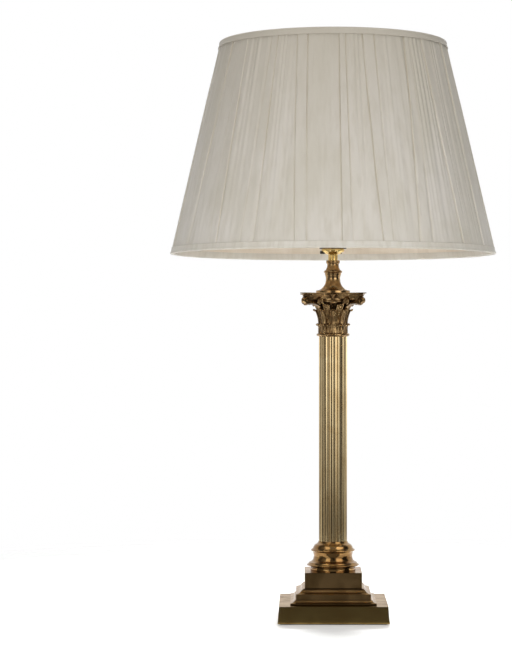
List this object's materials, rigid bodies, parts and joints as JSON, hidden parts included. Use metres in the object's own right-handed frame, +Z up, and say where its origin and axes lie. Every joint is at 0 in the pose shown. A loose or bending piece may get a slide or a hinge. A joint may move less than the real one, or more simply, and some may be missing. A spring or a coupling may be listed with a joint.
{
  "type": "table lamp",
  "caption": "Brass Corinthian column table lamp on a stepped square plinth, with a bayonet lampholder, push-bar switch and pleated cream silk empire shade on a wire carrier.",
  "frame": {"origin": "centre of the flat face that the lamp stands on", "axes": "+Z up the column, -Y to the front, +X to the right of someone facing the front"},
  "size_m": [0.4059, 0.406, 0.7165],
  "materials": {
    "plinth_brass": "polished, aged",
    "moulding_brass": "polished, aged",
    "pedestal_brass": "polished, aged",
    "column_brass": "polished, aged",
    "capital_brass": "aged, darker in the hollows",
    "stem_brass": "polished, aged",
    "holder_brass": "bright, lacquered",
    "zinc_steel": "dull plating",
    "carrier_steel": "darkened",
    "frame_steel": "white coating",
    "felt": "felt",
    "ballast_iron": "as cast",
    "black_moulding": "moulded",
    "ceramic_white": "glazed",
    "bulb_contact_metal": "plain",
    "bulb_white": "moulded",
    "bulb_opal": "opal",
    "lining_silk": "plain silk",
    "cover_silk": "pleated silk",
    "binding_silk": "folded silk"
  },
  "bodies": {
    "base": {"felt_pad": "felt", "base_plate": "zinc_steel", "base_screws": "zinc_steel", "ballast_weight": "ballast_iron", "plinth": "plinth_brass", "cord_bush": "black_moulding", "stepped_moulding": "moulding_brass", "pedestal_block": "pedestal_brass", "column_base": "column_brass", "column_shaft": "column_brass", "capital": "capital_brass", "vase_stem": "stem_brass", "locking_collar": "stem_brass", "tie_rod": "zinc_steel", "bottom_washer": "zinc_steel", "bottom_nut": "zinc_steel", "holder_cap": "holder_brass", "holder_skirt": "holder_brass", "holder_insulator": "ceramic_white", "contact_plungers": "holder_brass", "terminal_screws": "holder_brass", "shade_ring": "holder_brass"},
    "switch": {"switch_bar": "black_moulding", "switch_tip_left": "black_moulding", "switch_tip_right": "black_moulding"},
    "bulb": {"bulb_cap": "holder_brass", "bulb_base_disc": "black_moulding", "bulb_contacts": "bulb_contact_metal", "bulb_housing": "bulb_white", "bulb_globe": "bulb_opal"},
    "carrier": {"carrier_base_ring": "carrier_steel", "carrier_arm_front": "carrier_steel", "carrier_arm_back": "carrier_steel", "carrier_seat_ring": "carrier_steel"},
    "shade": {"duplex_ring": "frame_steel", "duplex_struts": "frame_steel", "frame_top_ring": "frame_steel", "frame_bottom_ring": "frame_steel", "frame_ribs": "frame_steel", "shade_lining": "lining_silk", "shade_cover": "cover_silk", "top_binding": "binding_silk", "bottom_binding": "binding_silk"}
  },
  "joints": [
    {"name": "switch_bar_slide", "type": "slide", "parent": "base", "child": "switch", "axis": [1, 0, 0], "range_m": [0, 0.005]},
    {"name": "bulb_turn", "type": "hinge", "parent": "base", "child": "bulb", "pos_m": [0, 0, 0.48], "axis": [0, 0, 1], "range_deg": [0, 18]},
    {"name": "carrier_turn", "type": "hinge", "parent": "base", "child": "carrier", "pos_m": [0, 0, 0.461], "axis": [0, 0, 1], "continuous": true},
    {"name": "shade_lift", "type": "slide", "parent": "carrier", "child": "shade", "axis": [0, 0, 1], "range_m": [0, 0.27]}
  ]
}
